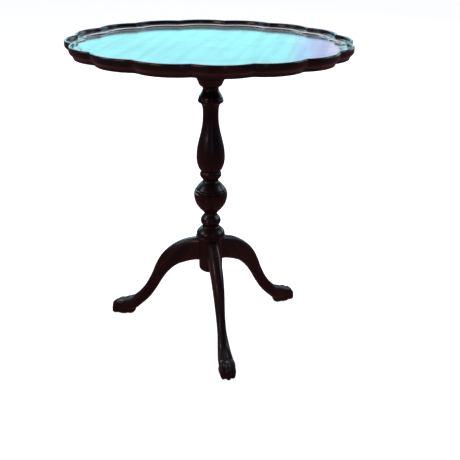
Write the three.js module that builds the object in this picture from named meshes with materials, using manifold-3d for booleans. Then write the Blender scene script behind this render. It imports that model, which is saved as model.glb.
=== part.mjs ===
// Tilt-top tripod table: a dished top with a scalloped moulded rim, hinged on a block that a
// turned column carries, and three cabriole legs with paw feet.
// Millimetres, +Z up, floor at z = 0, column axis on the Z axis. The top tilts about an axis
// along Y, and the front leg points towards -Y.
import * as THREE from 'three';
import { mergeVertices } from 'three/addons/utils/BufferGeometryUtils.js';
import Module from 'manifold-3d';

const wasm = await Module();
wasm.setup();

// ---- Driving dimensions -------------------------------------------------------------------

const fit_gap = 0.3; // between pieces that touch

// Top board
const table_height = 714;
const top_radius = 318; // to the crown of a scallop
const scallop_count = 16;
const scallop_depth = 13; // from a crown down to the cusp radius
const rim_height = 28;
const rim_lip_width = 7;
const rim_ledge_width = 17;
const lip_depth = 9; // from the rim's crown down to the ledge
const field_depth = 13; // from the rim's crown down to the table's surface
const rim_rounding = 2;
const undercut = 8; // how far the rim's outer face curves in towards its lower edge
const undercut_share = 0.32; // height of that curve against the rim's height
const foot_band_height = 4; // the set-in band along the rim's lower edge
const foot_band_setback = 1.5;
const joining_overlap = 5; // how far shapes that make one piece run into each other

// Block, pins and bearers
const block_width = 150; // along X, with the rounded edge
const block_depth = 148; // along Y
const pin_drop = 21; // from the board's underside down to the pivot axis
const pin_radius = 7;
const pin_seat = 24; // how deep a pin sits in the block
const bearer_gap = 1; // between a bearer and the block's side
const bearer_width = 30;
const bearer_length = 470;
const bearer_middle = 200; // length of the deep middle of a bearer
const bearer_depth = 36;
const bearer_end_depth = 14;
const bearer_shoulder = 50; // length of the curve from deep to thin
const bearer_screws_x = [175, 218];
const screw_sinking = 0.5; // from the wood's face up to a bearer screw's head

// Column
const base_radius = 28.5;
const base_bottom = 153;
const base_end_rounding = 12;
const leg_top = 239; // height of the legs' shoulders on the column
const tenon_radius = 16;
const wedge_width = 2.6;
const wedge_depth = 24;

// Legs
const leg_turn = 4.4; // degrees from the block's square to the front leg
const rear_leg_lead = 4; // degrees each rear leg stands forward of even thirds
const leg_reach = 245; // from the column axis to the middle of the foot
const leg_root_width = 32;
const leg_knee_width = 27;
const leg_ankle_width = 19;
const leg_foot_width = 29; // where the limb runs into the foot
const foot_half_width = 18;
const dovetail_length = 12;
const dovetail_neck = 11;
const dovetail_tail = 17;
const dovetail_height = 50;
const dovetail_drop = 5; // from the legs' shoulders down to the dovetails

// Catch
const catch_length = 62;
const catch_width = 34;
const catch_plate = 2.5;
const catch_offset = 4; // from the block's face to the catch
const case_width = 20;
const case_height = 11;
const case_wall = 3;
const bolt_width = 11;
const bolt_height = 5.5;
const bolt_reach = 7; // how far the bolt enters the block
const bolt_travel = 9;
const knob_radius = 5;
const keeper_width = 34;
const keeper_height = 15;
const keeper_drop = 1; // from the block's top down to the keeper
const keeper_plate = 2;
const keeper_slot_clearance = 0.8; // round the bolt in the keeper and the block
const pocket_clearance = 3; // beyond the bolt's tip in the block
const keeper_screw_inset = 5; // from the keeper's end to a screw
const keeper_screw_length = 10;
const bolt_drop = 1; // from the catch's plate down to the bolt
const bolt_nose = 3; // length of the bevel on the bolt's tip
const case_inset = 8; // from the plate's far end to the case
const stem_radius = 1.8;
const stem_length_below_case = 2;
const catch_screw_inset_x = 5;
const catch_screw_inset_y = 4.5;

// Screws
const screw_head_radius = 4.2;
const screw_radius = 2.1;
const bearer_screw_length = 24;
const catch_screw_length = 12;
const small_screw_scale = 0.62; // the catch's screws against the bearers' screws
const plate_screw_sinking = 0.2;
const screw_rim = 0.4; // straight side of a screw's head

// ---- Sizes that follow --------------------------------------------------------------------

const board_underside = table_height - rim_height;
const field_height = table_height - field_depth;
const undercut_height = rim_height * undercut_share;
const block_top = board_underside - fit_gap;
const block_round = pin_drop - fit_gap;
const block_bottom = board_underside - pin_drop - block_round;
const block_left = -block_width / 2;
const pivot_x = block_width / 2 - block_round;
const pivot_z = board_underside - pin_drop;
const bearer_y = block_depth / 2 + bearer_gap + bearer_width / 2;
const bolt_z = board_underside - fit_gap - catch_plate - bolt_height / 2 - bolt_drop;
const catch_start = block_left - catch_offset;
const dovetail_top = leg_top - dovetail_drop;

// ---- Materials ----------------------------------------------------------------------------

const mahogany = { color: 0x2a1310, roughness: 0.25, metalness: 0 };
const plain_wood = { color: 0x4a2a1a, roughness: 0.6, metalness: 0 };
const iron = { color: 0x3c3a38, roughness: 0.5, metalness: 1 };
const brass = { color: 0xb08a45, roughness: 0.35, metalness: 1 };

// ---- Helpers ------------------------------------------------------------------------------

// A closed geometry as a solid that can be joined and cut.
function solid(geometry) {
  const bare = geometry.clone();
  bare.deleteAttribute('normal');
  bare.deleteAttribute('uv');
  const merged = mergeVertices(bare, 1e-4);
  return new wasm.Manifold(new wasm.Mesh({
    numProp: 3,
    vertProperties: new Float32Array(merged.attributes.position.array),
    triVerts: new Uint32Array(merged.index.array),
  }));
}

function geometry_of(body) {
  const mesh = body.getMesh();
  const geometry = new THREE.BufferGeometry();
  geometry.setAttribute('position', new THREE.BufferAttribute(mesh.vertProperties, 3));
  geometry.setIndex(new THREE.BufferAttribute(mesh.triVerts, 1));
  geometry.computeVertexNormals();
  return geometry;
}

const group = new THREE.Group();

function place(name, geometry, finish) {
  const mesh = new THREE.Mesh(geometry, new THREE.MeshStandardMaterial(finish));
  mesh.name = name;
  group.add(mesh);
  return mesh;
}

function box(x0, x1, y0, y1, z0, z1) {
  const geometry = new THREE.BoxGeometry(x1 - x0, y1 - y0, z1 - z0);
  geometry.translate((x0 + x1) / 2, (y0 + y1) / 2, (z0 + z1) / 2);
  return geometry;
}

// A turned shape: [radius, height] points from the axis at the bottom to the axis at the top.
function turned(points, segments) {
  const profile = points.map(([radius, height]) => new THREE.Vector2(radius, height));
  const geometry = new THREE.LatheGeometry(profile, segments);
  geometry.rotateX(Math.PI / 2);
  return geometry;
}

// A side outline in X and Z, drawn out along Y between two faces.
function sawn(outline, y0, y1) {
  const geometry = new THREE.ExtrudeGeometry(outline, {
    depth: y1 - y0,
    bevelEnabled: false,
    curveSegments: 10,
  });
  geometry.rotateX(Math.PI / 2);
  geometry.translate(0, y1, 0);
  return geometry;
}

// ---- Top board ----------------------------------------------------------------------------

const lobe_angle = Math.PI / scallop_count;
const cusp_radius = top_radius - scallop_depth;
const cusp_side = cusp_radius * Math.sin(lobe_angle);
const lobe_sagitta = top_radius - cusp_radius * Math.cos(lobe_angle);
const lobe_radius = (cusp_side ** 2 + lobe_sagitta ** 2) / (2 * lobe_sagitta);
const lobe_centre = top_radius - lobe_radius;
const lobe_sweep = Math.asin(cusp_side / lobe_radius);

// The scalloped outline, moved inwards by inset: crowns keep their centres and the cusps
// become small arcs round the cusp points.
function scalloped(inset) {
  const outline = new THREE.Shape();
  for (let lobe = 0; lobe < scallop_count; lobe += 1) {
    const heading = -Math.PI / 2 + 2 * lobe * lobe_angle;
    const centre_x = lobe_centre * Math.cos(heading);
    const centre_y = lobe_centre * Math.sin(heading);
    const start = heading - lobe_sweep;
    const end = heading + lobe_sweep;
    outline.absarc(centre_x, centre_y, lobe_radius - inset, start, end, false);
    if (inset > 0) {
      const cusp_heading = heading + lobe_angle;
      const cusp_x = cusp_radius * Math.cos(cusp_heading);
      const cusp_y = cusp_radius * Math.sin(cusp_heading);
      const next_start = start + 2 * lobe_angle;
      outline.absarc(cusp_x, cusp_y, inset, end + Math.PI, next_start + Math.PI, true);
    }
  }
  return outline;
}

// A scalloped slab whose upper and lower edges are rounded: rounding is how far the curve
// reaches in from the outline, and rounding_height how far it reaches along Z.
function slab(inset, bottom, top, rounding = 0, rounding_height = rounding) {
  const geometry = new THREE.ExtrudeGeometry(scalloped(inset), {
    depth: top - bottom - 2 * rounding_height,
    bevelEnabled: rounding > 0,
    bevelThickness: rounding_height,
    bevelSize: rounding,
    bevelOffset: -rounding,
    bevelSegments: 2,
    curveSegments: 3,
  });
  geometry.translate(0, 0, bottom + rounding_height);
  return geometry;
}

function top_board() {
  const above = table_height + joining_overlap;
  const band_top = board_underside + foot_band_height;
  const face_low = band_top + undercut_height;
  const curve_top = face_low + undercut_height + rim_rounding;
  let board = solid(slab(0, face_low - rim_rounding, table_height, rim_rounding));
  board = board.add(solid(slab(0, band_top, curve_top, undercut, undercut_height)));
  board = board.add(solid(slab(undercut + foot_band_setback, board_underside,
    band_top + joining_overlap)));
  board = board.subtract(solid(slab(rim_lip_width, table_height - lip_depth, above)));
  return board.subtract(solid(slab(rim_lip_width + rim_ledge_width, field_height, above)));
}

// ---- Screws -------------------------------------------------------------------------------

// A countersunk wood screw, head down at z = 0 and point up; clearance makes its hole.
function screw_body(length, scale, clearance) {
  const head = screw_head_radius * scale + clearance;
  const shank = screw_radius * scale + clearance;
  const cone = head - shank;
  const tip = length + clearance;
  const lip = clearance > 0 ? -1 : 0;
  return turned([[0, lip], [head, lip], [head, screw_rim], [shank, screw_rim + cone],
    [shank, tip - 2 * shank], [0, tip]], 8);
}

function screw(length, scale) {
  const slot_half = 0.5 * scale;
  const reach = screw_head_radius * 2;
  const slot = solid(box(-reach, reach, -slot_half, slot_half, -1, 1.2 * scale));
  return geometry_of(solid(screw_body(length, scale, 0)).subtract(slot));
}

const bearer_screw_spots = [];
for (const side of [-1, 1]) {
  for (const end of [-1, 1]) {
    for (const x of bearer_screws_x) {
      bearer_screw_spots.push([end * x, side * bearer_y]);
    }
  }
}

const bearer_screw_z = board_underside - fit_gap - bearer_end_depth + screw_sinking;

// ---- Bearers ------------------------------------------------------------------------------

function bearer_outline() {
  const top = board_underside - fit_gap;
  const half = bearer_length / 2;
  const middle = bearer_middle / 2;
  const thin = middle + bearer_shoulder;
  const low = top - bearer_depth;
  const high = top - bearer_end_depth;
  const bend = bearer_shoulder / 2;
  const outline = new THREE.Shape();
  outline.moveTo(-half, top);
  outline.lineTo(-half, high);
  outline.lineTo(-thin, high);
  outline.bezierCurveTo(-thin + bend, high, -middle - bend, low, -middle, low);
  outline.lineTo(middle, low);
  outline.bezierCurveTo(middle + bend, low, thin - bend, high, thin, high);
  outline.lineTo(half, high);
  outline.lineTo(half, top);
  return outline;
}

// A cylinder along Y on the pivot axis.
function pivot_cylinder(radius, y0, y1) {
  const geometry = new THREE.CylinderGeometry(radius, radius, y1 - y0, 20);
  geometry.translate(pivot_x, (y0 + y1) / 2, pivot_z);
  return geometry;
}

function bearer(side) {
  const centre = side * bearer_y;
  const half = bearer_width / 2;
  const inner = centre - half;
  const outer = centre + half;
  let bar = solid(sawn(bearer_outline(), inner, outer));
  bar = bar.subtract(solid(pivot_cylinder(pin_radius + fit_gap, inner - 1, outer + 1)));
  for (const [x, y] of bearer_screw_spots) {
    const hole = screw_body(bearer_screw_length, 1, fit_gap);
    hole.translate(x, y, bearer_screw_z);
    bar = bar.subtract(solid(hole));
  }
  return bar;
}

// ---- Block and pins -----------------------------------------------------------------------

function block_outline() {
  const outline = new THREE.Shape();
  outline.moveTo(block_left, block_bottom);
  outline.lineTo(pivot_x, block_bottom);
  outline.absarc(pivot_x, pivot_z, block_round, -Math.PI / 2, Math.PI / 2, false);
  outline.lineTo(block_left, block_top);
  return outline;
}

const keeper_slot_half_width = bolt_width / 2 + keeper_slot_clearance;
const keeper_slot_half_height = bolt_height / 2 + keeper_slot_clearance;
const keeper_middle_z = block_top - keeper_drop - keeper_height / 2;
const keeper_screw_y = keeper_width / 2 - keeper_screw_inset;

function keeper_screw_at(geometry, side) {
  geometry.rotateY(Math.PI / 2);
  geometry.translate(block_left, side * keeper_screw_y, keeper_middle_z);
  return geometry;
}

function block() {
  const half = block_depth / 2;
  let body = solid(sawn(block_outline(), -half, half));
  const bore_radius = tenon_radius + fit_gap;
  const bore = new THREE.CylinderGeometry(bore_radius, bore_radius, block_width, 32);
  bore.rotateX(Math.PI / 2);
  bore.translate(0, 0, block_top);
  body = body.subtract(solid(bore));
  for (const side of [-1, 1]) {
    const ends = [side * (half - pin_seat - fit_gap), side * (half + 1)];
    const hole = pivot_cylinder(pin_radius + fit_gap, Math.min(...ends), Math.max(...ends));
    body = body.subtract(solid(hole));
    const screw_hole = screw_body(keeper_screw_length, small_screw_scale, fit_gap);
    body = body.subtract(solid(keeper_screw_at(screw_hole, side)));
  }
  const seat_half_width = keeper_width / 2 + fit_gap;
  const seat_half_height = keeper_height / 2 + fit_gap;
  const seat = box(block_left - 1, block_left + keeper_plate + fit_gap, -seat_half_width,
    seat_half_width, keeper_middle_z - seat_half_height, keeper_middle_z + seat_half_height);
  body = body.subtract(solid(seat));
  const pocket = box(block_left - 1, block_left + bolt_reach + pocket_clearance,
    -keeper_slot_half_width, keeper_slot_half_width,
    bolt_z - keeper_slot_half_height, bolt_z + keeper_slot_half_height);
  return body.subtract(solid(pocket));
}

function pivot_pin(side) {
  const ends = [side * (block_depth / 2 - pin_seat), side * (bearer_y + bearer_width / 2)];
  return pivot_cylinder(pin_radius, Math.min(...ends), Math.max(...ends));
}

function keeper() {
  const half_width = keeper_width / 2;
  const half_height = keeper_height / 2;
  let plate = solid(box(block_left, block_left + keeper_plate, -half_width, half_width,
    keeper_middle_z - half_height, keeper_middle_z + half_height));
  plate = plate.subtract(solid(box(block_left - 1, block_left + keeper_plate + 1,
    -keeper_slot_half_width, keeper_slot_half_width,
    bolt_z - keeper_slot_half_height, bolt_z + keeper_slot_half_height)));
  for (const side of [-1, 1]) {
    const hole = screw_body(keeper_screw_length, small_screw_scale, fit_gap);
    plate = plate.subtract(solid(keeper_screw_at(hole, side)));
  }
  return plate;
}

// ---- Column -------------------------------------------------------------------------------

// Turned members of the shaft above the legs, each a smooth run of [height, radius] points.
// Heights are as drawn, from the legs' shoulders up to the block.
const drawn_shaft = 402;
const shaft_members = [
  // base collar
  [[1, 33], [3, 34.7], [6, 34.6]],
  [[7, 33.6], [15, 33.2], [20, 30.5], [25, 26], [30, 19.6]],
  // ring
  [[33, 19], [38, 21.6], [41, 23.2], [45, 24], [50, 23.2], [55, 20.4], [60, 16.2]],
  // knop
  [[63, 15], [66, 16], [71, 20.5], [78, 26.8], [86, 32.4], [94, 36], [104, 38.4], [113, 39]],
  [[117, 38.4], [123, 36.4], [129, 32.4], [137, 25.6], [142, 20]],
  // small ring
  [[146, 17.6], [150, 19.6], [155, 23.4], [159.5, 24.8], [165, 24], [168, 23]],
  // vase
  [[170, 23.6], [175, 26.6], [184, 30.2], [194, 32.2], [205, 32.6], [224, 31],
    [243, 27], [262, 22.4], [281, 19], [299, 17.9], [314, 18.2], [323, 19.8], [328, 22.4]],
  // bell ring
  [[331, 27.2], [334, 28.8], [337, 28.9], [342, 27.4], [350, 22.8], [357, 18.8]],
  // capital
  [[361, 17.8], [365, 18.6], [367.6, 22.6], [373, 26.6], [379, 29.2]],
  [[380, 30], [386, 32], [391, 30.6]],
  [[392, 34], [402, 34]],
];

function column() {
  const scale = (block_bottom - fit_gap - leg_top) / drawn_shaft;
  const points = [[0, base_bottom]];
  const round_steps = 3;
  for (let step = 0; step <= round_steps; step += 1) {
    const turn = (step / round_steps) * (Math.PI / 2);
    points.push([
      base_radius - base_end_rounding * (1 - Math.sin(turn)),
      base_bottom + base_end_rounding * (1 - Math.cos(turn)),
    ]);
  }
  points.push([base_radius, leg_top]);
  for (const member of shaft_members) {
    for (const [height, radius] of member) {
      points.push([radius, leg_top + height * scale]);
    }
  }
  points.push([tenon_radius, block_bottom - fit_gap]);
  points.push([tenon_radius, block_top - fit_gap]);
  points.push([0, block_top - fit_gap]);
  let shaft = solid(turned(points, 20));
  const slot_half = wedge_width / 2 + fit_gap;
  const slot_low = block_top - fit_gap - wedge_depth - 1;
  shaft = shaft.subtract(solid(box(-slot_half, slot_half, -tenon_radius - 1, tenon_radius + 1,
    slot_low, block_top + 1)));
  for (const heading of leg_headings) {
    shaft = shaft.subtract(solid(dovetail(fit_gap).rotateZ(heading)));
  }
  return shaft;
}

function tenon_wedge() {
  const top = block_top - fit_gap;
  const reach = tenon_radius - 1;
  const outline = new THREE.Shape();
  outline.moveTo(-wedge_width / 2, top);
  outline.lineTo(-wedge_width / 6, top - wedge_depth);
  outline.lineTo(wedge_width / 6, top - wedge_depth);
  outline.lineTo(wedge_width / 2, top);
  return sawn(outline, -reach, reach);
}

// ---- Legs ---------------------------------------------------------------------------------

const even_third = 120; // degrees
const rear_leg_angle = even_third - rear_leg_lead;
const leg_headings = [0, rear_leg_angle, -rear_leg_angle].map((degrees) => (
  -Math.PI / 2 + THREE.MathUtils.degToRad(leg_turn + degrees)));
const leg_names = ['leg_front', 'leg_right', 'leg_left'];

// The leg's upper and lower edges as drawn, [reach, height], side by side from the column to
// the foot.
const drawn_reach = 250;
const drawn_leg_top = 238;
const upper_edge = [[20, 238], [44, 234], [74, 223], [103, 204], [127, 179], [143, 151],
  [157, 118], [176, 84], [199, 59], [224, 44], [248, 38]];
const lower_edge = [[20, 177], [38, 175], [62, 167], [88, 154], [111, 132], [128, 108],
  [144, 82], [164, 56], [188, 33], [214, 16], [240, 12]];

function leg_curve(edge) {
  const points = edge.map(([reach, height]) => new THREE.Vector3(
    (reach * leg_reach) / drawn_reach, 0, (height * leg_top) / drawn_leg_top));
  return new THREE.CatmullRomCurve3(points, false, 'catmullrom', 0.5);
}

function leg_half_width(travel) {
  const knee = 0.45;
  const ankle = 0.72;
  if (travel < knee) {
    return THREE.MathUtils.lerp(leg_root_width, leg_knee_width, travel / knee) / 2;
  }
  if (travel < ankle) {
    const share = (travel - knee) / (ankle - knee);
    return THREE.MathUtils.lerp(leg_knee_width, leg_ankle_width, share) / 2;
  }
  const share = (travel - ankle) / (1 - ankle);
  return THREE.MathUtils.lerp(leg_ankle_width, leg_foot_width, share) / 2;
}

// A tapered cabriole limb: a cylinder of rings, each ring fitted between the two edges.
function leg_limb() {
  const sides = 10;
  const rings = 12;
  const geometry = new THREE.CylinderGeometry(1, 1, 1, sides, rings);
  const upper = leg_curve(upper_edge);
  const lower = leg_curve(lower_edge);
  const place_at = geometry.attributes.position;
  for (let index = 0; index < place_at.count; index += 1) {
    const travel = 0.5 - place_at.getY(index);
    const high = upper.getPoint(travel);
    const low = lower.getPoint(travel);
    const across = place_at.getX(index);
    const along = place_at.getZ(index);
    const squareness = THREE.MathUtils.lerp(1.3, 1.08, travel);
    const bulge = (value) => THREE.MathUtils.clamp(value * squareness, -1, 1);
    const middle = high.clone().add(low).multiplyScalar(0.5);
    const half = high.clone().sub(low).multiplyScalar(0.5 * bulge(along));
    middle.add(half);
    place_at.setXYZ(index, middle.x, bulge(across) * leg_half_width(travel), middle.z);
  }
  return geometry;
}

// The dovetail along Z, pointing inwards from the column's surface at reach base_radius.
function dovetail(clearance) {
  const outer = base_radius + fit_gap;
  const inner = outer - dovetail_length - clearance;
  const neck = dovetail_neck / 2 + clearance;
  const tail = dovetail_tail / 2 + clearance;
  const cut = clearance > 0;
  const beyond = outer + joining_overlap;
  const high = dovetail_top + clearance;
  const low = cut ? base_bottom - 1 : dovetail_top - dovetail_height;
  const outline = new THREE.Shape();
  outline.moveTo(inner, -tail);
  outline.lineTo(outer, -neck);
  outline.lineTo(beyond, -neck);
  outline.lineTo(beyond, neck);
  outline.lineTo(outer, neck);
  outline.lineTo(inner, tail);
  const geometry = new THREE.ExtrudeGeometry(outline, { depth: high - low, bevelEnabled: false });
  geometry.translate(0, 0, low);
  return geometry;
}

function ellipsoid(reach, side, height, length, width, tall, tilt = 0) {
  const geometry = new THREE.SphereGeometry(1, 8, 5);
  geometry.rotateX(Math.PI / 2);
  geometry.scale(length, width, tall);
  geometry.rotateY(tilt);
  geometry.translate(reach, side, height);
  return geometry;
}

// The foot: a paw of three toes that bend down to blunt claws, with a heel behind, flat
// underneath. Sizes are given for a paw of the drawn half width and scale with foot_half_width.
const drawn_half_width = 18;

function foot() {
  const scale = foot_half_width / drawn_half_width;
  const lump = (reach, side, height, length, width, tall, tilt) => solid(ellipsoid(
    leg_reach + reach * scale, side * scale, height * scale,
    length * scale, width * scale, tall * scale, tilt));
  let body = lump(-8, 0, 20, 32, 16, 16, 0.12);
  for (const toe of [-1, 0, 1]) {
    const back = Math.abs(toe) * 6;
    body = body.add(lump(4 - back, toe * 10, 27, 19, 6.6, 9, 0.15));
    body = body.add(lump(19.5 - back, toe * 10.8, 17, 8, 7, 14, -0.15));
    body = body.add(lump(22.5 - back, toe * 9, 5.5, 7, 5.6, 7.5, 0));
  }
  return body.add(lump(-30, 0, 12, 13, 12, 13, 0.5));
}

function leg() {
  let body = solid(leg_limb()).add(foot());
  const column_cut = new THREE.CylinderGeometry(base_radius + fit_gap, base_radius + fit_gap,
    table_height, 28);
  column_cut.rotateX(Math.PI / 2);
  body = body.subtract(solid(column_cut));
  body = body.add(solid(dovetail(0)));
  return body.subtract(solid(box(0, leg_reach * 2, -leg_reach, leg_reach, -leg_reach, 0)));
}

// ---- Catch --------------------------------------------------------------------------------

const catch_end = catch_start - catch_length;
const catch_top = board_underside - fit_gap;
const catch_middle = (catch_start + catch_end) / 2;
const catch_screw_spots = [];
for (const end of [-1, 1]) {
  for (const side of [-1, 1]) {
    catch_screw_spots.push([
      catch_middle + end * (catch_length / 2 - catch_screw_inset_x),
      side * (catch_width / 2 - catch_screw_inset_y),
    ]);
  }
}
const catch_screw_z = catch_top - catch_plate + plate_screw_sinking;
const case_end = catch_end + case_inset;
const knob_x = catch_middle;

function catch_case() {
  const low = catch_top - catch_plate - case_height;
  let body = solid(box(catch_end, catch_start, -catch_width / 2, catch_width / 2,
    catch_top - catch_plate, catch_top));
  body = body.add(solid(box(case_end, catch_start - 1, -case_width / 2, case_width / 2,
    low, catch_top - catch_plate / 2)));
  const channel_half_width = bolt_width / 2 + fit_gap;
  const channel_half_height = bolt_height / 2 + fit_gap;
  body = body.subtract(solid(box(case_end + case_wall, catch_start + 1, -channel_half_width,
    channel_half_width, bolt_z - channel_half_height, bolt_z + channel_half_height)));
  const slot_half = stem_radius + fit_gap;
  body = body.subtract(solid(box(knob_x - bolt_travel - slot_half - fit_gap,
    knob_x + slot_half + fit_gap, -slot_half, slot_half, low - 1, bolt_z)));
  for (const [x, y] of catch_screw_spots) {
    const hole = screw_body(catch_screw_length, small_screw_scale, fit_gap);
    hole.translate(x, y, catch_screw_z);
    body = body.subtract(solid(hole));
  }
  return body;
}

function catch_bolt() {
  const tip = block_left + bolt_reach;
  const back = case_end + case_wall + bolt_travel + 2;
  const low = bolt_z - bolt_height / 2;
  const high = bolt_z + bolt_height / 2;
  const outline = new THREE.Shape();
  outline.moveTo(back, low);
  outline.lineTo(tip - bolt_nose, low);
  outline.lineTo(tip, low + bolt_height / 3);
  outline.lineTo(tip, high);
  outline.lineTo(back, high);
  return sawn(outline, -bolt_width / 2, bolt_width / 2);
}

function catch_knob() {
  const stem_top = bolt_z - bolt_height / 2 - fit_gap;
  const case_low = catch_top - catch_plate - case_height;
  const knob_top = case_low - stem_length_below_case;
  const middle = knob_top - knob_radius;
  const waist = knob_radius * 0.7;
  const waist_height = knob_radius * 0.75;
  const geometry = turned([[0, middle - knob_radius], [waist, middle - waist_height],
    [knob_radius, middle], [waist, middle + waist_height], [stem_radius, knob_top],
    [stem_radius, stem_top], [0, stem_top]], 16);
  geometry.translate(knob_x, 0, 0);
  return geometry;
}

// ---- Assembly -----------------------------------------------------------------------------

function drilled_board() {
  let board = top_board();
  for (const [x, y] of bearer_screw_spots) {
    const hole = screw_body(bearer_screw_length, 1, fit_gap);
    hole.translate(x, y, bearer_screw_z);
    board = board.subtract(solid(hole));
  }
  for (const [x, y] of catch_screw_spots) {
    const hole = screw_body(catch_screw_length, small_screw_scale, fit_gap);
    hole.translate(x, y, catch_screw_z);
    board = board.subtract(solid(hole));
  }
  return board;
}

place('top_board', geometry_of(drilled_board()), mahogany);
place('bearer_front', geometry_of(bearer(-1)), plain_wood);
place('bearer_rear', geometry_of(bearer(1)), plain_wood);

bearer_screw_spots.forEach(([x, y], index) => {
  const mesh = place(`bearer_screw_${index + 1}`, screw(bearer_screw_length, 1), iron);
  mesh.position.set(x, y, bearer_screw_z);
});

place('block', geometry_of(block()), plain_wood);
place('pivot_pin_front', pivot_pin(-1), iron);
place('pivot_pin_rear', pivot_pin(1), iron);
place('column', geometry_of(column()), mahogany);
place('tenon_wedge', tenon_wedge(), plain_wood);

leg_headings.forEach((heading, index) => {
  const mesh = place(leg_names[index], geometry_of(leg()), mahogany);
  mesh.rotation.z = heading;
});

place('catch_case', geometry_of(catch_case()), brass);
place('catch_bolt', catch_bolt(), brass);
place('catch_knob', catch_knob(), brass);

catch_screw_spots.forEach(([x, y], index) => {
  const geometry = screw(catch_screw_length, small_screw_scale);
  const mesh = place(`catch_screw_${index + 1}`, geometry, brass);
  mesh.position.set(x, y, catch_screw_z);
});

place('keeper_plate', geometry_of(keeper()), brass);
[-1, 1].forEach((side, index) => {
  const geometry = keeper_screw_at(screw(keeper_screw_length, small_screw_scale), side);
  place(`keeper_screw_${index + 1}`, geometry, brass);
});

export default group;
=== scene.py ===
"""Looks of the tilt-top tripod table: scalloped dished top, turned column, carved legs, catch."""
import math

import bmesh
import bpy
import numpy as np
from mathutils import Matrix, Vector


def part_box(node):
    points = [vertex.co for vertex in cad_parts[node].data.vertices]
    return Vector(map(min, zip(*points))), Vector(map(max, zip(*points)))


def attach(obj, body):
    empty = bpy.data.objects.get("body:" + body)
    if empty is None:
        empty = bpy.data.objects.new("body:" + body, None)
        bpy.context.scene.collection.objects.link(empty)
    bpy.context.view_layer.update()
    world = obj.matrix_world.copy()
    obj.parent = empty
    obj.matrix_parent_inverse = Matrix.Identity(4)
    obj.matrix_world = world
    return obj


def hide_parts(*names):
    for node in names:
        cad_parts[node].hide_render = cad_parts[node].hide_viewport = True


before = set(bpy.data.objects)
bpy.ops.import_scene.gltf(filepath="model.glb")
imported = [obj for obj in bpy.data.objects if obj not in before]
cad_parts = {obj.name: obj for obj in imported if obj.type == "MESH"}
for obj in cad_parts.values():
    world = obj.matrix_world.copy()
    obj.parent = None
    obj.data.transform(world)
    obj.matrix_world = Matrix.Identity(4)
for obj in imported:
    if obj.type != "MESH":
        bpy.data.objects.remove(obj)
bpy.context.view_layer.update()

MM = 0.001
FULL_TURN = 2 * math.pi


# ---- Small helpers for meshes -------------------------------------------------------------

def piece_from(bm, name, body, materials, sharp=35, relief=None):
    """Closes off a bmesh as a finished piece that rides on a body."""
    bmesh.ops.remove_doubles(bm, verts=bm.verts, dist=1e-6)
    bmesh.ops.recalc_face_normals(bm, faces=bm.faces)
    mesh = bpy.data.meshes.new(name)
    bm.to_mesh(mesh)
    bm.free()
    return piece_of_mesh(mesh, name, body, materials, sharp, relief)


def piece_of_mesh(mesh, name, body, materials, sharp=35, relief=None):
    mesh.name = name
    mesh.materials.clear()
    for material in materials:
        mesh.materials.append(material)
    mesh.shade_smooth()
    mesh.set_sharp_from_angle(angle=math.radians(sharp))
    if relief:
        mark_relief(mesh, relief)
    piece = bpy.data.objects.new(name, mesh)
    bpy.context.scene.collection.objects.link(piece)
    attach(piece, body)
    return piece


def mark_relief(mesh, reach):
    """Stores 'relief' on each vertex: over 0.5 on edges that stand out, under 0.5 in hollows,
    where mahogany() darkens the colour as painted shade.
    """
    count = len(mesh.vertices)
    place = np.empty(count * 3)
    mesh.vertices.foreach_get("co", place)
    place = place.reshape(-1, 3)
    normal = np.empty(count * 3)
    mesh.vertex_normals.foreach_get("vector", normal)
    normal = normal.reshape(-1, 3)
    ends = np.empty(len(mesh.edges) * 2, dtype=np.int64)
    mesh.edges.foreach_get("vertices", ends)
    first, second = ends.reshape(-1, 2).T
    along = place[second] - place[first]
    shortest = 1e-5
    length = np.maximum(np.linalg.norm(along, axis=1), shortest)
    touching = np.maximum(np.bincount(ends, minlength=count), 1)
    rise = np.bincount(first, -(along * normal[first]).sum(1) / length, minlength=count)
    rise += np.bincount(second, (along * normal[second]).sum(1) / length, minlength=count)
    rise = rise / touching / np.maximum(
        (np.bincount(first, length, minlength=count)
         + np.bincount(second, length, minlength=count)) / touching, shortest)
    for _ in range(4):
        near = np.bincount(first, rise[second], minlength=count)
        near += np.bincount(second, rise[first], minlength=count)
        rise = 0.5 * rise + 0.5 * near / touching
    value = np.clip(0.5 + rise * reach, 0, 1)
    layer = mesh.attributes.new("relief", "FLOAT", "POINT")
    layer.data.foreach_set("value", value.astype(np.float32))


def applied(piece):
    """The piece's mesh with its modifiers worked in."""
    graph = bpy.context.evaluated_depsgraph_get()
    return bpy.data.meshes.new_from_object(piece.evaluated_get(graph))


def loose_object(bm, name):
    mesh = bpy.data.meshes.new(name)
    bmesh.ops.recalc_face_normals(bm, faces=bm.faces)
    bm.to_mesh(mesh)
    bm.free()
    thing = bpy.data.objects.new(name, mesh)
    bpy.context.scene.collection.objects.link(thing)
    return thing


def cut_away(blank, cutter):
    """Cuts the cutter out of the blank and returns the mesh that is left."""
    cut = blank.modifiers.new("cut", "BOOLEAN")
    cut.operation = "DIFFERENCE"
    cut.solver = "EXACT"
    cut.object = cutter
    mesh = applied(blank)
    bpy.data.objects.remove(blank)
    bpy.data.objects.remove(cutter)
    return mesh


def add_block(bm, low, high):
    centre = (Vector(low) + Vector(high)) / 2
    size = Vector(high) - Vector(low)
    matrix = Matrix.Translation(centre) @ Matrix.Diagonal((*size, 1))
    return bmesh.ops.create_cube(bm, size=1, matrix=matrix)["verts"]


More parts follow.
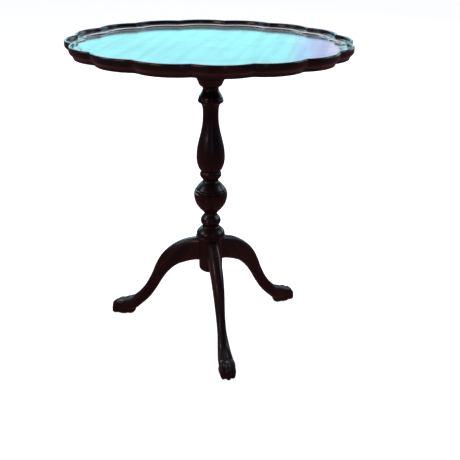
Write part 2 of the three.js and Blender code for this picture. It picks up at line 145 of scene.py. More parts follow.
def spun(profile, steps=96):
    """A turned shape from (radius, height) points, about the Z axis."""
    bm = bmesh.new()
    verts = [bm.verts.new((radius, 0, height)) for radius, height in profile]
    edges = [bm.edges.new(pair) for pair in zip(verts, verts[1:])]
    bmesh.ops.spin(bm, geom=verts + edges, cent=(0, 0, 0), axis=(0, 0, 1), dvec=(0, 0, 0),
                   angle=FULL_TURN, steps=steps, use_merge=True, use_duplicate=False)
    bmesh.ops.remove_doubles(bm, verts=bm.verts, dist=1e-6)
    return bm


def smooth_run(points, steps=5):
    """Points along a smooth curve through the given ones (a Catmull-Rom curve)."""
    spots = [Vector(point) for point in points]
    ends = [2 * spots[0] - spots[1], *spots, 2 * spots[-1] - spots[-2]]
    run = []
    for a, b, c, d in zip(ends, ends[1:], ends[2:], ends[3:]):
        for step in range(steps):
            t = step / steps
            run.append(0.5 * (2 * b + (c - a) * t + (2 * a - 5 * b + 4 * c - d) * t ** 2
                              + (3 * b - a - 3 * c + d) * t ** 3))
    return run + [spots[-1]]


# ---- Materials ----------------------------------------------------------------------------

def fill_ramp(node, stops):
    """Gives a colour ramp its (position, colour) stops."""
    elements = node.color_ramp.elements
    while len(elements) < len(stops):
        elements.new(0.5)
    for element, (position, colour) in zip(elements, stops):
        element.position = position
        element.color = (*colour, 1)


class Finish:
    """A material under construction: adds nodes and links them in one call."""

    def __init__(self, name):
        self.material = bpy.data.materials.new(name)
        self.material.use_nodes = True
        self.tree = self.material.node_tree
        self.surface = self.tree.nodes["Principled BSDF"]
        self.place = self.node("ShaderNodeTexCoord").outputs["Object"]

    def node(self, kind, **settings):
        node = self.tree.nodes.new(kind)
        for key, value in settings.items():
            setattr(node, key, value)
        return node

    def link(self, source, target):
        self.tree.links.new(source, target)

    def laid(self, turn=(0, 0, 0), scale=(1, 1, 1), source=None):
        """Coordinates of a pattern that is turned and stretched by scale."""
        mapping = self.node("ShaderNodeMapping", vector_type="TEXTURE")
        mapping.inputs["Rotation"].default_value = turn
        mapping.inputs["Scale"].default_value = scale
        self.link(source or self.place, mapping.inputs["Vector"])
        return mapping.outputs["Vector"]

    def noise(self, where, scale, detail=4, distortion=0.0, roughness=0.5):
        noise = self.node("ShaderNodeTexNoise")
        noise.inputs["Scale"].default_value = scale
        noise.inputs["Detail"].default_value = detail
        noise.inputs["Distortion"].default_value = distortion
        noise.inputs["Roughness"].default_value = roughness
        self.link(where, noise.inputs["Vector"])
        return noise.outputs["Fac"]

    def ramp(self, factor, *stops):
        ramp = self.node("ShaderNodeValToRGB")
        fill_ramp(ramp, stops)
        self.link(factor, ramp.inputs["Fac"])
        return ramp.outputs["Color"]

    def mixed(self, first, second, factor, blend="MIX"):
        mix = self.node("ShaderNodeMix", data_type="RGBA", blend_type=blend)
        for socket, value in ((mix.inputs[6], first), (mix.inputs[7], second),
                              (mix.inputs[0], factor)):
            if isinstance(value, bpy.types.NodeSocket):
                self.link(value, socket)
            else:
                socket.default_value = value
        return mix.outputs[2]

    def ranged(self, factor, low, high, start=0.0, end=1.0):
        spread = self.node("ShaderNodeMapRange")
        self.link(factor, spread.inputs["Value"])
        spread.inputs["From Min"].default_value = start
        spread.inputs["From Max"].default_value = end
        spread.inputs["To Min"].default_value = low
        spread.inputs["To Max"].default_value = high
        return spread.outputs["Result"]

    def bump(self, height, strength, distance, under=None):
        bump = self.node("ShaderNodeBump")
        bump.inputs["Strength"].default_value = strength
        bump.inputs["Distance"].default_value = distance
        self.link(height, bump.inputs["Height"])
        if under:
            self.link(under, bump.inputs["Normal"])
        return bump.outputs["Normal"]

    def relief(self):
        return self.node("ShaderNodeAttribute", attribute_name="relief").outputs["Fac"]

    def set(self, **values):
        for name, value in values.items():
            socket = self.surface.inputs[name.replace("_", " ")]
            if isinstance(value, bpy.types.NodeSocket):
                self.link(value, socket)
            else:
                socket.default_value = value


def mahogany(name, heading=0.0, dip=0.0, glow=1.0, polish=0.2, coat=0.6, ripples=0.1,
             stripes=(0.45, 0.035), wear=0.15):
    """French-polished mahogany; the grain runs along heading, dipping below the level. Painted
    shade darkens its colour in the hollows.
    """
    finish = Finish(name)
    turn = (0, dip, heading)
    length, width = stripes
    figure = finish.noise(finish.laid(turn, (length, width, width)), 1.0, 6, 0.8, 0.55)
    fibre = finish.noise(finish.laid(turn, (0.16, 0.0022, 0.0022)), 1.0, 5, 0.2, 0.6)
    pores = finish.noise(finish.laid(turn, (0.012, 0.0007, 0.0007)), 1.0, 2, 0.0, 0.5)
    dark = (0.010 * glow, 0.0036 * glow, 0.0030 * glow)
    middle = (0.034 * glow, 0.0105 * glow, 0.0068 * glow)
    warm = (0.095 * glow, 0.031 * glow, 0.014 * glow)
    colour = finish.ramp(figure, (0.30, dark), (0.50, middle), (0.72, warm))
    streaks = finish.ramp(fibre, (0.36, (0.42, 0.36, 0.36)), (0.62, (1.0, 1.0, 1.0)))
    colour = finish.mixed(colour, streaks, 0.75, "MULTIPLY")
    flecks = finish.ramp(pores, (0.30, (0.35, 0.3, 0.3)), (0.42, (1.0, 1.0, 1.0)))
    colour = finish.mixed(colour, flecks, 0.6, "MULTIPLY")
    relief = finish.relief()
    # Painted shade: the colour is darkened in the hollows that the relief mark finds.
    painted_hollow_shade = finish.ramp(relief, (0.32, (0.22, 0.2, 0.2)), (0.5, (1.0, 1.0, 1.0)))
    colour = finish.mixed(colour, painted_hollow_shade, 0.8, "MULTIPLY")
    rubbed = finish.ranged(relief, 0.0, 0.5, 0.58, 0.95)
    colour = finish.mixed(colour, (0.12 * glow, 0.042 * glow, 0.02 * glow, 1), rubbed)
    handling = finish.noise(finish.place, 9.0, 4, 0.4)
    grain = finish.bump(fibre, 0.16, 0.0004)
    ripple = finish.noise(finish.laid(turn, (0.22, 0.03, 0.03)), 1.0, 3)
    surface = finish.bump(ripple, ripples, 0.0012, grain)
    finish.set(Base_Color=colour, Normal=surface,
               Roughness=finish.ranged(handling, polish + 0.06, polish + 0.22, 0.3, 0.7))
    sheen = finish.noise(finish.laid(turn, (0.6, 0.02, 0.02)), 1.0, 3, 0.3, 0.6)
    finish.set(Coat_Weight=finish.ranged(sheen, coat * (1 - wear), coat, 0.42, 0.56),
               Coat_Roughness=polish * 0.45, Coat_IOR=1.5, Specular_IOR_Level=0.35,
               Coat_Normal=surface)
    return finish.material


def dry_wood(name, heading=0.0, dip=0.0, tone=1.0):
    """Unpolished old mahogany: matt, open-grained and dusty."""
    finish = Finish(name)
    turn = (0, dip, heading)
    figure = finish.noise(finish.laid(turn, (0.3, 0.03, 0.03)), 1.0, 6, 0.6)
    fibre = finish.noise(finish.laid(turn, (0.08, 0.0016, 0.0016)), 1.0, 5, 0.2, 0.65)
    colour = finish.ramp(figure, (0.3, (0.045 * tone, 0.018 * tone, 0.010 * tone)),
                         (0.7, (0.13 * tone, 0.058 * tone, 0.030 * tone)))
    lines = finish.ramp(fibre, (0.35, (0.5, 0.45, 0.42)), (0.6, (1.0, 1.0, 1.0)))
    colour = finish.mixed(colour, lines, 0.8, "MULTIPLY")
    dust = finish.noise(finish.place, 14.0, 6, 0.5)
    colour = finish.mixed(colour, (0.16 * tone, 0.11 * tone, 0.075 * tone, 1),
                          finish.ranged(dust, 0.0, 0.22, 0.5, 0.75))
    finish.set(Base_Color=colour, Normal=finish.bump(fibre, 0.45, 0.0006),
               Roughness=finish.ranged(fibre, 0.6, 0.85, 0.3, 0.7))
    finish.set(Specular_IOR_Level=0.3)
    return finish.material


def old_metal(name, bright, dull, spots, polish, brushed=0.0015):
    """Aged metal: bright and dull in random patches, with spots of patina and fine scratches."""
    finish = Finish(name)
    patina = finish.noise(finish.place, 160.0, 6, 0.8)
    patches = finish.noise(finish.place, 45.0, 4, 0.3)
    scratches = finish.noise(finish.laid((0, 0, 0.3), (0.03, brushed, brushed)), 1.0, 4)
    colour = finish.ramp(patches, (0.35, dull), (0.65, bright))
    colour = finish.mixed(colour, (*spots, 1), finish.ranged(patina, 0.0, 0.7, 0.55, 0.72))
    rough = finish.ranged(scratches, polish, polish + 0.25, 0.35, 0.7)
    finish.set(Base_Color=colour, Roughness=rough, Normal=finish.bump(scratches, 0.12, 0.0002))
    finish.set(Metallic=1.0)
    return finish.material


def white_surround(name):
    finish = Finish(name)
    finish.set(Base_Color=(0.9, 0.9, 0.9, 1), Roughness=0.9, Specular_IOR_Level=0.0)
    finish.set(Emission_Color=(1, 1, 1, 1), Emission_Strength=0.94)
    return finish.material


# ---- Sizes taken from the frame -----------------------------------------------------------

BOARD_LOW, BOARD_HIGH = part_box("top_board")
COLUMN_LOW, COLUMN_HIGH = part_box("column")
BLOCK_LOW, BLOCK_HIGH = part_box("block")
TOP_RADIUS = BOARD_HIGH.x
RIM_TOP = BOARD_HIGH.z
BOARD_UNDERSIDE = BOARD_LOW.z

# ---- The part's own sizes, which the frame doesn't hold -----------------------------------

LEG_TURN = math.radians(4.4)
REAR_LEG_LEAD = math.radians(4)
REAR_LEG_ANGLE = FULL_TURN / 3 - REAR_LEG_LEAD
LEG_HEADINGS = [-math.pi / 2 + LEG_TURN + side * REAR_LEG_ANGLE for side in (0, 1, -1)]
LEG_REACH = 245 * MM
LEG_TOP = 239 * MM
BASE_RADIUS = 28.5 * MM
FIT_GAP = 0.3 * MM
DOVETAIL_DEPTH = 12 * MM
DOVETAIL_NECK = 5.5 * MM
DOVETAIL_TAIL = 8.5 * MM
DOVETAIL_HEIGHT = 50 * MM
DOVETAIL_TOP = LEG_TOP - 5 * MM
GRAIN_OF_TOP = math.radians(74)


# ---- Scalloped top ------------------------------------------------------------------------

SCALLOPS = 16
CUSP_RADIUS = TOP_RADIUS - 13 * MM
LOBE_ANGLE = math.pi / SCALLOPS
CUSP_SIDE = CUSP_RADIUS * math.sin(LOBE_ANGLE)
LOBE_RISE = TOP_RADIUS - CUSP_RADIUS * math.cos(LOBE_ANGLE)
LOBE_RADIUS = (CUSP_SIDE ** 2 + LOBE_RISE ** 2) / (2 * LOBE_RISE)
LOBE_CENTRE = TOP_RADIUS - LOBE_RADIUS
LOBE_SWEEP = math.asin(CUSP_SIDE / LOBE_RADIUS)
LOBE_STEPS = 18
CUSP_STEPS = 6
LOBE_POINTS = LOBE_STEPS + CUSP_STEPS
FIELD_INSET = 20 * MM
UNDERSIDE_DEPTH = 0.5 * MM

# The rim's section: (inset from the outline, depth below the crown), from the underside,
# out and up over the crown, down the lip to the ledge, and down the last step to the field.
RIM_SECTION = [
    (14.0, 28.0), (10.4, 27.9), (9.7, 27.5), (9.5, 26.6), (9.5, 24.9), (9.2, 24.3), (8.6, 24.0),
    (8.1, 23.8), (7.9, 23.3), (7.7, 22.6), (6.9, 21.2), (5.2, 19.3), (3.2, 17.4), (1.5, 15.5),
    (0.5, 13.6), (0.1, 11.6), (0.0, 9.5), (0.0, 6.5), (0.0, 4.0), (0.2, 2.7), (0.7, 1.4),
    (1.6, 0.5), (2.9, 0.0), (4.0, 0.1), (5.0, 0.7), (5.7, 1.7), (6.1, 3.0), (6.5, 5.0),
    (6.8, 7.0), (7.0, 7.9), (7.3, 8.3), (7.9, 8.4), (9.5, 8.4), (12.0, 8.6), (14.5, 8.9),
    (17.0, 9.4), (19.0, 9.9), (21.0, 10.5), (22.4, 11.1), (23.0, 11.6), (23.3, 12.3),
    (23.7, 12.8), (24.4, 13.0), (25.2, 13.0), (27.5, 13.0),
]


def rim_spot(index, inset, height):
    """The place of one point of the scalloped outline, moved inwards by inset."""
    lobe, step = divmod(index, LOBE_POINTS)
    heading = -math.pi / 2 + 2 * lobe * LOBE_ANGLE
    if step <= LOBE_STEPS:
        angle = heading + LOBE_SWEEP * (2 * step / LOBE_STEPS - 1)
        centre = LOBE_CENTRE * Vector((math.cos(heading), math.sin(heading), 0))
        reach = LOBE_RADIUS - inset
    else:
        share = (step - LOBE_STEPS) / CUSP_STEPS
        angle = heading + LOBE_SWEEP + math.pi - 2 * (LOBE_SWEEP - LOBE_ANGLE) * share
        cusp = heading + LOBE_ANGLE
        centre = CUSP_RADIUS * Vector((math.cos(cusp), math.sin(cusp), 0))
        reach = inset
    spot = centre + reach * Vector((math.cos(angle), math.sin(angle), 0))
    spot.z = height
    return spot


def scalloped_top(rim_wood, field_wood, underside):
    materials = [rim_wood, field_wood, underside]
    bm = bmesh.new()
    ring = bmesh.ops.create_circle(bm, segments=SCALLOPS * LOBE_POINTS, radius=1)["verts"]
    edges = list(bm.edges)
    for row, (inset, depth) in enumerate(RIM_SECTION):
        if row:
            grown = bmesh.ops.extrude_edge_only(bm, edges=edges)["geom"]
            edges = [part for part in grown if isinstance(part, bmesh.types.BMEdge)]
            ring = [part for part in grown if isinstance(part, bmesh.types.BMVert)]
            edges = [edge for edge in edges if all(vert in set(ring) for vert in edge.verts)]
        else:
            first_edges = list(edges)
        for index, vert in enumerate(ring):
            vert.co = rim_spot(index, inset * MM, RIM_TOP - depth * MM)
    bmesh.ops.contextual_create(bm, geom=first_edges)
    bmesh.ops.contextual_create(bm, geom=edges)
    bm.normal_update()
    for face in bm.faces:
        spot = face.calc_center_median()
        if spot.z < BOARD_UNDERSIDE + UNDERSIDE_DEPTH:
            face.material_index = materials.index(underside)
        elif spot.xy.length < CUSP_RADIUS - FIELD_INSET:
            face.material_index = materials.index(field_wood)
    top = piece_from(bm, "scalloped_top", "top", materials, 50, 0.0006)
    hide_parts("top_board")


# ---- Turned column ------------------------------------------------------------------------

# Members of the shaft above the legs: (height above the legs' shoulders, radius), millimetres.
DRAWN_SHAFT = 402
SHAFT_FULLNESS = 1.02
SHAFT_MEMBERS = [
    [(0.5, 33.2), (2, 34.5), (4.5, 34.9), (6.4, 34.4)],
    [(7.2, 33.2), (9, 33.4), (15, 33.0), (20, 30.5), (25, 26), (29, 21), (31, 19.2)],
    [(33, 19), (38, 21.6), (41, 23.2)],
    [(42, 22.7), (45, 23.9), (48, 22.9)],
    [(49, 23.2), (52, 22.2), (55, 20.2), (60, 16.2)],
    [(63, 15), (66, 16), (71, 20.5), (78, 26.8), (86, 32.4), (94, 36), (104, 38.4), (113, 39),
     (116.5, 38.6)],
    [(117.4, 36.6), (119, 37.1), (121.5, 36.8), (123, 36.0)],
    [(124, 33.8), (125.5, 33.9), (127.5, 32.8), (130, 31.0), (137, 25.4), (142, 20)],
    [(144.5, 17.8), (147, 17.6), (150, 19.6), (155, 23.4), (159.5, 24.8), (164, 24.3),
     (167, 22.9)],
    [(169, 22.6), (171, 24), (175, 26.6), (184, 30.2), (194, 32.2), (205, 32.6), (224, 31),
     (243, 27), (262, 22.4), (281, 19), (299, 17.9), (314, 18.2), (323, 19.8), (328, 22.4)],
    [(330, 26), (332, 28.3), (335, 29.0), (338, 28.4)],
    [(339.5, 27.4), (344, 26.2), (350, 22.9), (357, 18.8)],
    [(361, 17.8), (365, 18.6), (367.6, 22.0)],
    [(369, 24.4), (374, 27.2), (379, 29.2)],
    [(380.5, 30), (384, 31.8), (388, 32), (391, 30.6)],
    [(392, 33.4), (393, 34), (401, 34), (402, 33.4)],
]
TENON_RADIUS = 16 * MM


def column_profile():
    end_rounding = 12 * MM
    bottom = COLUMN_LOW.z
    profile = [(0.0, bottom)]
    for step in range(9):
        turn = step / 8 * math.pi / 2
        profile.append((BASE_RADIUS - end_rounding * (1 - math.sin(turn)),
                        bottom + end_rounding * (1 - math.cos(turn))))
    profile.append((BASE_RADIUS, LEG_TOP))
    seat = BLOCK_LOW.z - FIT_GAP
    scale = (seat - LEG_TOP) / DRAWN_SHAFT
    for member in SHAFT_MEMBERS:
        for height, radius in smooth_run(member, 4):
            profile.append((radius * SHAFT_FULLNESS * MM, LEG_TOP + height * scale))
    tenon_top = COLUMN_HIGH.z
    profile += [(TENON_RADIUS, seat), (TENON_RADIUS, tenon_top - 0.6 * MM),
                (TENON_RADIUS - 0.6 * MM, tenon_top), (0.0, tenon_top)]
    return profile


def dovetail_blank(bm, heading, clearance, low, high, beyond):
    """A dovetail along Z in the side of the column, at the heading of one leg."""
    outer = BASE_RADIUS + FIT_GAP
    inner = outer - DOVETAIL_DEPTH - clearance
    neck = DOVETAIL_NECK + clearance
    tail = DOVETAIL_TAIL + clearance
    outline = [(inner, -tail), (outer, -neck), (outer + beyond, -neck),
               (outer + beyond, neck), (outer, neck), (inner, tail)]
    verts = [bm.verts.new((x, y, low)) for x, y in outline]
    face = bm.faces.new(verts)
    lifted = bmesh.ops.extrude_face_region(bm, geom=[face])["geom"]
    risen = [part for part in lifted if isinstance(part, bmesh.types.BMVert)]
    bmesh.ops.translate(bm, vec=(0, 0, high - low), verts=risen)
    turn = Matrix.Rotation(heading, 3, "Z")
    bmesh.ops.rotate(bm, matrix=turn, verts=verts + risen)


def turned_column(wood):
    blank = loose_object(spun(column_profile()), "column_blank")
    cutters = bmesh.new()
    for heading in LEG_HEADINGS:
        dovetail_blank(cutters, heading, FIT_GAP, COLUMN_LOW.z - 2 * MM,
                       DOVETAIL_TOP + FIT_GAP, 8 * MM)
    slot_half = 1.6 * MM
    slot_reach = TENON_RADIUS + 2 * MM
    add_block(cutters, (-slot_half, -slot_reach, COLUMN_HIGH.z - 25 * MM),
              (slot_half, slot_reach, COLUMN_HIGH.z + 2 * MM))
    mesh = cut_away(blank, loose_object(cutters, "column_cutters"))
    column = piece_of_mesh(mesh, "turned_column", "base", [wood], 42, 0.0009)
    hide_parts("column")


# ---- Carved legs --------------------------------------------------------------------------

# Upper and lower edges of the limb side by side, (reach, height) in millimetres.
UPPER_EDGE = [(20, 239), (44, 235), (74, 224), (103, 205), (127, 180), (143, 152), (157, 119),
              (176, 85), (198, 60), (221, 44), (243, 35)]
LOWER_EDGE = [(20, 178), (38, 176), (62, 168), (88, 155), (111, 133), (128, 109), (143, 83),
              (162, 55), (186, 30), (208, 12), (235, 8)]
LIMB_WIDTH = [32, 31, 30, 29, 27, 24.5, 21.5, 21.5, 28, 34, 36]
LIMB_SIDES = 28
LIMB_RINGS_PER_SPAN = 6


def between(a, b, share):
    return a + (b - a) * share


def add_limb(bm):
    """The tapered cabriole limb: a ring carried from the column to the foot."""
    upper = smooth_run(UPPER_EDGE, LIMB_RINGS_PER_SPAN)
    lower = smooth_run(LOWER_EDGE, LIMB_RINGS_PER_SPAN)
    width = smooth_run([(value, 0) for value in LIMB_WIDTH], LIMB_RINGS_PER_SPAN)
    ring = bmesh.ops.create_circle(bm, segments=LIMB_SIDES, radius=1, cap_ends=True)["verts"]
    face = ring[0].link_faces[0]
    last = len(upper) - 1
    for row, (high, low, across) in enumerate(zip(upper, lower, width)):
        if row:
            grown = bmesh.ops.extrude_face_region(bm, geom=[face])["geom"]
            if row > 1:
                bmesh.ops.delete(bm, geom=[face], context="FACES_ONLY")
            face = next(part for part in grown if isinstance(part, bmesh.types.BMFace))
        middle = (high + low) / 2
        half = (high - low) / 2
        square = between(3.4, 2.1, row / last)
        for index, vert in enumerate(face.verts):
            angle = FULL_TURN * index / LIMB_SIDES
            lift = math.copysign(abs(math.cos(angle)) ** (2 / square), math.cos(angle))
            side = math.copysign(abs(math.sin(angle)) ** (2 / square), math.sin(angle))
            spot = middle + half * lift
            pinch = 1 - 0.16 * max(0.0, lift) ** 2 * between(1, 0, row / last)
            vert.co = Vector((spot.x, across.x / 2 * side * pinch, spot.y)) * MM


def add_lump(bm, reach, side, height, length, width, tall, tilt=0.0, swing=0.0):
    """A rounded lump of the foot; sizes in millimetres from the middle of the foot."""
    place = Matrix.Translation(Vector((LEG_REACH / MM + reach, side, height)) * MM)
    turn = Matrix.Rotation(swing, 4, "Z") @ Matrix.Rotation(tilt, 4, "Y")
    shape = Matrix.Diagonal((length * MM, width * MM, tall * MM, 1))
    bmesh.ops.create_uvsphere(bm, u_segments=28, v_segments=18, radius=1,
                              matrix=place @ turn @ shape)


def add_paw(bm):
    add_lump(bm, -16, 0, 25, 40, 18, 15, 0.3)
    for toe in (-1, 0, 1):
        back = abs(toe) * 5
        add_lump(bm, -18 - back, toe * 9.8, 36, 36, 5.6, 8, 0.42, toe * 0.14)
        add_lump(bm, 2 - back, toe * 11.8, 25, 17, 7.2, 12, 0.3)
        add_lump(bm, 12.5 - back, toe * 11.8, 15, 10.5, 7.2, 14.5, 0.1)
        add_lump(bm, 16.5 - back, toe * 10.8, 7.5, 8, 6.6, 8, 0.2)
    add_lump(bm, -27, 0, 12, 15, 14, 13, 0.4)
    add_lump(bm, -8, -10, 11, 22, 9, 11)
    add_lump(bm, -8, 10, 11, 22, 9, 11)


def carved_leg_mesh():
    bm = bmesh.new()
    add_limb(bm)
    add_paw(bm)
    dovetail_blank(bm, 0.0, 0.0, DOVETAIL_TOP - DOVETAIL_HEIGHT, DOVETAIL_TOP, 8 * MM)
    carved = loose_object(bm, "leg_carving")
    blend = carved.modifiers.new("blend", "REMESH")
    blend.mode = "VOXEL"
    blend.voxel_size = 1.2 * MM
    soft = bmesh.new()
    soft.from_mesh(applied(carved))
    bpy.data.objects.remove(carved)
    root = BASE_RADIUS + 4 * MM
    for _ in range(7):
        easy = [vert for vert in soft.verts if vert.co.x > root]
        bmesh.ops.smooth_vert(soft, verts=easy, factor=0.5, use_axis_x=True,
                              use_axis_y=True, use_axis_z=True)
    bmesh.ops.bisect_plane(soft, geom=soft.verts[:] + soft.edges[:] + soft.faces[:],
                           plane_co=(0, 0, 0), plane_no=(0, 0, -1), clear_outer=True)
    rim = [edge for edge in soft.edges if edge.is_boundary]
    bmesh.ops.holes_fill(soft, edges=rim)
    return soft


def seat_on_column(soft):
    """Cuts the limb's root to the column, but leaves the dovetail."""
    blank = loose_object(soft, "leg_blank")
    ring = bmesh.new()
    height = 240 * MM
    outer = BASE_RADIUS + FIT_GAP
    bmesh.ops.create_cone(ring, cap_ends=True, segments=96, radius1=outer, radius2=outer,
                          depth=height, matrix=Matrix.Translation((0, 0, LEG_TOP)))
    keep = loose_object(ring, "column_clearance")
    slot = bmesh.new()
    dovetail_blank(slot, 0.0, 0.0, DOVETAIL_TOP - DOVETAIL_HEIGHT, DOVETAIL_TOP,
                   DOVETAIL_NECK)
    spare = loose_object(slot, "dovetail_keep")
    cutter = bpy.data.objects.new("root_cutter", cut_away(keep, spare))
    bpy.context.scene.collection.objects.link(cutter)
    return cut_away(blank, cutter)


def carved_legs():
    drawn = seat_on_column(carved_leg_mesh())
    for name, heading in zip(("leg_front", "leg_right", "leg_left"), LEG_HEADINGS):
        wood = mahogany(f"{name}_mahogany", heading, 0.9, 1.3, 0.27, 0.5)
        mesh = drawn.copy()
        mesh.transform(Matrix.Rotation(heading, 4, "Z"))
        leg = piece_of_mesh(mesh, f"carved_{name}", "base", [wood], 60, 0.0016)
        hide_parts(name)


# ---- Block, bearers, pins and wedge -------------------------------------------------------

def eased_copy(node, width, material, body, name):
    """A copy of a node's shape with its sharp edges eased."""
    bm = bmesh.new()
    bm.from_mesh(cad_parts[node].data)
    bmesh.ops.remove_doubles(bm, verts=bm.verts, dist=1e-5)
    bmesh.ops.dissolve_limit(bm, angle_limit=math.radians(1.5), verts=bm.verts,
                             edges=bm.edges)
    if width:
        sharp = [edge for edge in bm.edges
                 if len(edge.link_faces) == 2 and edge.calc_face_angle() > math.radians(40)]
        bmesh.ops.bevel(bm, geom=sharp, offset=width, offset_type="OFFSET", segments=3,
                        profile=0.5, affect="EDGES", clamp_overlap=True, material=-1)
    bmesh.ops.triangulate(bm, faces=[face for face in bm.faces if len(face.verts) > 4])
    piece = piece_from(bm, name, body, [material], 35)
    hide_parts(node)


# ---- Screws and knob ----------------------------------------------------------------------

def wood_screw(name, node, head, shank, facing, material, body, twist):
    """A countersunk slotted screw in its node's box; facing is the way its head looks."""
    low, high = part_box(node)
    spine = max(range(3), key=lambda axis: high[axis] - low[axis])
    length = high[spine] - low[spine]
    ease = 0.15 * MM
    land = 0.4 * MM
    cone = land + head - shank
    profile = [(0.0, 0.0), (head - ease, 0.0), (head, ease), (head, land),
               (shank, cone), (shank, length - 2 * shank), (0.0, length)]
    blank = loose_object(spun(profile, 32), "screw_blank")
    slot_cut = bmesh.new()
    half = head * 0.12
    add_block(slot_cut, (-2 * head, -half, -head), (2 * head, half, head * 0.28))
    mesh = cut_away(blank, loose_object(slot_cut, "screw_slot"))
    centre = (low + high) / 2
    foot = centre.copy()
    foot[spine] = low[spine]
    turn = Matrix.Rotation(twist, 4, "Z")
    if facing == "X":
        turn = Matrix.Rotation(math.pi / 2, 4, "Y") @ turn
    mesh.transform(Matrix.Translation(foot) @ turn)
    piece = piece_of_mesh(mesh, name, body, [material], 35)
    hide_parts(node)


def catch_knob(brass):
    low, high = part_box("catch_knob")
    centre = (low + high) / 2
    ball = (high.x - low.x) / 2
    stem = 1.8 * MM
    profile = [(0.0, low.z)]
    for step in range(1, 17):
        turn = step / 18 * math.pi
        profile.append((ball * math.sin(turn), low.z + ball * (1 - math.cos(turn))))
    neck = profile[-1][1]
    profile += [(stem * 1.25, neck + 0.7 * MM), (stem * 1.5, neck + 1.2 * MM),
                (stem, neck + 1.7 * MM), (stem, high.z), (0.0, high.z)]
    bm = spun(profile, 48)
    bmesh.ops.translate(bm, vec=(centre.x, centre.y, 0), verts=bm.verts)
    knob = piece_from(bm, "catch_ball_knob", "bolt", [brass], 35)
    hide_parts("catch_knob")


def pivot_pin(node, steel):
    low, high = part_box(node)
    radius = (high.x - low.x) / 2
    length = high.y - low.y
    ease = 0.8 * MM
    profile = [(0.0, 0.0), (radius - ease, 0.0), (radius, ease), (radius, length - ease),
               (radius - ease, length), (0.0, length)]
    bm = spun(profile, 48)
    bmesh.ops.rotate(bm, matrix=Matrix.Rotation(-math.pi / 2, 3, "X"), verts=bm.verts)
    centre = (low + high) / 2
    bmesh.ops.translate(bm, vec=(centre.x, low.y, centre.z), verts=bm.verts)
    pin = piece_from(bm, f"{node}_turned", "base", [steel], 35)
    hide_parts(node)


# ---- Studio -------------------------------------------------------------------------------

SURROUND_RADIUS = 30


def studio_shell(name, bm, material):
    """Part of the white surround: it is seen, but it neither lights nor shades the table."""
    mesh = bpy.data.meshes.new(name)
    bm.to_mesh(mesh)
    bm.free()
    mesh.materials.append(material)
    shell = bpy.data.objects.new(name, mesh)
    bpy.context.scene.collection.objects.link(shell)
    shell.visible_glossy = False
    shell.visible_diffuse = False
    shell.visible_shadow = False


def surround(material):
    ground = bmesh.new()
    bmesh.ops.create_grid(ground, x_segments=1, y_segments=1, size=SURROUND_RADIUS)
    studio_shell("floor", ground, material)
    wall = bmesh.new()
    bmesh.ops.create_cone(wall, cap_ends=False, segments=48, radius1=SURROUND_RADIUS,
                          radius2=SURROUND_RADIUS, depth=SURROUND_RADIUS * 2)
    studio_shell("backdrop", wall, material)


def soft_light(name, place, aim, size, brightness, colour):
    """An area light; brightness is what its face looks like, whatever its size."""
    light = bpy.data.lights.new(name, "AREA")
    light.shape = "RECTANGLE"
    light.size, light.size_y = size
    light.energy = brightness * math.pi * size[0] * size[1]
    light.color = colour
    lamp = bpy.data.objects.new(name, light)
    lamp.location = place
    lamp.rotation_euler = (Vector(aim) - Vector(place)).to_track_quat("-Z", "Y").to_euler()
    lamp.visible_camera = False
    bpy.context.scene.collection.objects.link(lamp)


def dim_room():
    """A dark room: warm light comes up from the floor, and cool light down from above."""
    world = bpy.data.worlds.new("dim_room")
    world.use_nodes = True
    tree = world.node_tree
    place = tree.nodes.new("ShaderNodeTexCoord")
    parts = tree.nodes.new("ShaderNodeSeparateXYZ")
    tree.links.new(place.outputs["Generated"], parts.inputs["Vector"])
    height = tree.nodes.new("ShaderNodeMapRange")
    height.inputs["From Min"].default_value = -1
    tree.links.new(parts.outputs["Z"], height.inputs["Value"])
    ramp = tree.nodes.new("ShaderNodeValToRGB")
    fill_ramp(ramp, [(0.0, (0.17, 0.07, 0.075)), (0.46, (0.09, 0.04, 0.05)),
                     (0.53, (0.03, 0.03, 0.06)), (1.0, (0.04, 0.045, 0.08))])
    tree.links.new(height.outputs["Result"], ramp.inputs["Fac"])
    tree.links.new(ramp.outputs["Color"], tree.nodes["Background"].inputs["Color"])
    bpy.context.scene.world = world


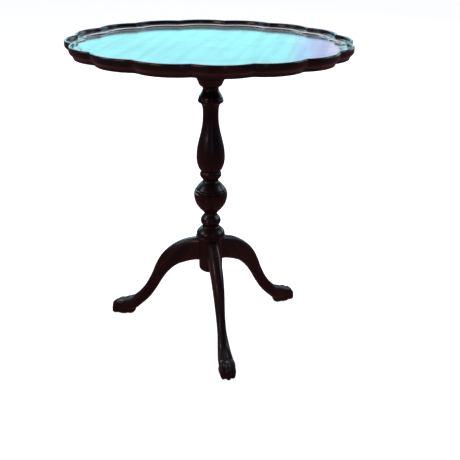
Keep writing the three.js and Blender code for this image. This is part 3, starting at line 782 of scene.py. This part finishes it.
def studio():
    dim_room()
    bpy.context.scene.view_settings.view_transform = "Standard"
    low_aim = (0, 0, 0.7)
    high_aim = (0, 0, 0.4)
    behind = (("window_behind", -3.9, 1.10, 1.1, 2.3, 2.0, (0.34, 0.96, 1.0)),
              ("pale_wall", 1.10, 1.25, 1.1, 2.3, 2.1, (0.40, 0.72, 1.0)),
              ("lilac_wall", 1.25, 1.40, 1.1, 2.3, 1.75, (0.52, 0.64, 1.0)),
              ("pink_wall", 1.40, 1.53, 1.1, 2.3, 1.75, (0.74, 0.76, 1.0)),
              ("mauve_wall", 1.53, 2.30, 1.1, 2.3, 1.45, (0.70, 0.76, 1.0)),
              ("lintel", -3.9, 2.30, 2.3, 3.3, 1.0, (0.72, 0.80, 1.0)),
              ("high_window", -3.9, 2.30, 3.3, 6.0, 4.0, (0.84, 0.95, 1.0)))
    for name, left, right, low, high, brightness, colour in behind:
        place = Vector(((left + right) / 2, 5.0, (low + high) / 2))
        soft_light(name, place, place - Vector((0, 1, 0)), (right - left, high - low),
                   brightness, colour)
    soft_light("ceiling", (0, 0.5, 3.0), low_aim, (2.0, 2.0), 1.6, (0.95, 0.92, 1.0))
    soft_light("window_right", (4.4, 3.6, 1.5), low_aim, (3.0, 1.6), 1.5, (0.72, 0.95, 1.0))
    soft_light("sky_left", (-2.8, -0.1, 2.1), high_aim, (1.2, 1.2), 3.0, (0.66, 0.78, 1.0))
    soft_light("sky_right", (2.8, 0.1, 2.0), high_aim, (1.2, 1.2), 2.4, (0.72, 0.80, 1.0))
    soft_light("room_left", (-2.6, -2.4, 1.6), high_aim, (1.4, 0.9), 2.4, (1.0, 0.60, 0.46))
    soft_light("door_in_front", (0.45, -3.6, 1.1), (0, 0, 0.5), (0.3, 1.8), 0.7,
               (0.60, 0.62, 1.0))


# The camera stands in front, a little to the left, and looks down at the table.
CAMERA_DISTANCE = 1.780
CAMERA_HEIGHT = 0.9864
CAMERA_SIDE = math.radians(-4.37)
CAMERA_PAN = math.radians(2.58)
CAMERA_DIP = math.radians(22.24)
CAMERA_ROLL = math.radians(0.97)
CAMERA_LENS = 62.1
CAMERA_SENSOR = 36
CAMERA_SHIFT = -0.030


def camera():
    data = bpy.data.cameras.new("camera")
    data.lens = CAMERA_LENS
    data.sensor_width = CAMERA_SENSOR
    data.shift_x = CAMERA_SHIFT
    data.clip_start = 0.05
    data.clip_end = 200
    eye = bpy.data.objects.new("camera", data)
    eye.location = (CAMERA_DISTANCE * math.sin(CAMERA_SIDE),
                    -CAMERA_DISTANCE * math.cos(CAMERA_SIDE), CAMERA_HEIGHT)
    turn = Matrix.Rotation(CAMERA_SIDE - CAMERA_PAN, 3, "Z")
    tilt = Matrix.Rotation(math.pi / 2 - CAMERA_DIP, 3, "X")
    roll = Matrix.Rotation(CAMERA_ROLL, 3, "Z")
    eye.rotation_euler = (turn @ tilt @ roll).to_euler()
    bpy.context.scene.collection.objects.link(eye)
    bpy.context.scene.camera = eye


# ---- Assembly -----------------------------------------------------------------------------

def build():
    camera()
    studio()
    surround(white_surround("white_surround"))

    top_wood = mahogany("top_mahogany", GRAIN_OF_TOP, 0.0, 2.6, 0.34, 1.0, 0.006,
                        (0.6, 0.02), 0.85)
    rim_wood = mahogany("rim_mahogany", GRAIN_OF_TOP, 0.0, 0.7, 0.2, 0.9, 0.03)
    under_wood = dry_wood("underside_wood", GRAIN_OF_TOP)
    column_wood = mahogany("column_mahogany", 0.0, math.pi / 2, 1.0, 0.2, 0.5)
    bearer_wood = dry_wood("bearer_wood", 0.0, 0.0, 0.9)
    block_wood = dry_wood("block_wood", 0.12, 0.0, 0.8)
    wedge_wood = dry_wood("wedge_wood", 0.0, math.pi / 2, 1.5)
    brass = old_metal("aged_brass", (0.62, 0.42, 0.16), (0.36, 0.24, 0.10),
                      (0.10, 0.065, 0.035), 0.24)
    iron = old_metal("screw_iron", (0.16, 0.15, 0.14), (0.06, 0.055, 0.05),
                     (0.10, 0.045, 0.025), 0.42)
    steel = old_metal("pin_steel", (0.42, 0.41, 0.40), (0.22, 0.21, 0.20),
                      (0.10, 0.07, 0.05), 0.32)

    scalloped_top(rim_wood, top_wood, under_wood)
    turned_column(column_wood)
    carved_legs()

    for side in ("front", "rear"):
        eased_copy(f"bearer_{side}", 1.5 * MM, bearer_wood, "top",
                   f"eased_bearer_{side}")
        pivot_pin(f"pivot_pin_{side}", steel)
    eased_copy("block", 1.2 * MM, block_wood, "base", "eased_block")
    eased_copy("tenon_wedge", 0.2 * MM, wedge_wood, "base", "eased_wedge")
    eased_copy("catch_case", 0.35 * MM, brass, "top", "eased_catch_case")
    eased_copy("catch_bolt", 0.3 * MM, brass, "bolt", "eased_catch_bolt")
    eased_copy("keeper_plate", 0.25 * MM, brass, "base", "eased_keeper")
    catch_knob(brass)
    for index in range(1, 9):
        wood_screw(f"slotted_bearer_screw_{index}", f"bearer_screw_{index}", 4.2 * MM,
                   2.1 * MM, "Z", iron, "top", 0.7 * index)
    for index in range(1, 5):
        wood_screw(f"slotted_catch_screw_{index}", f"catch_screw_{index}", 2.6 * MM,
                   1.3 * MM, "Z", brass, "top", 0.9 * index)
    for index in range(1, 3):
        wood_screw(f"slotted_keeper_screw_{index}", f"keeper_screw_{index}", 2.6 * MM,
                   1.3 * MM, "X", brass, "base", 0.5 * index)


build()
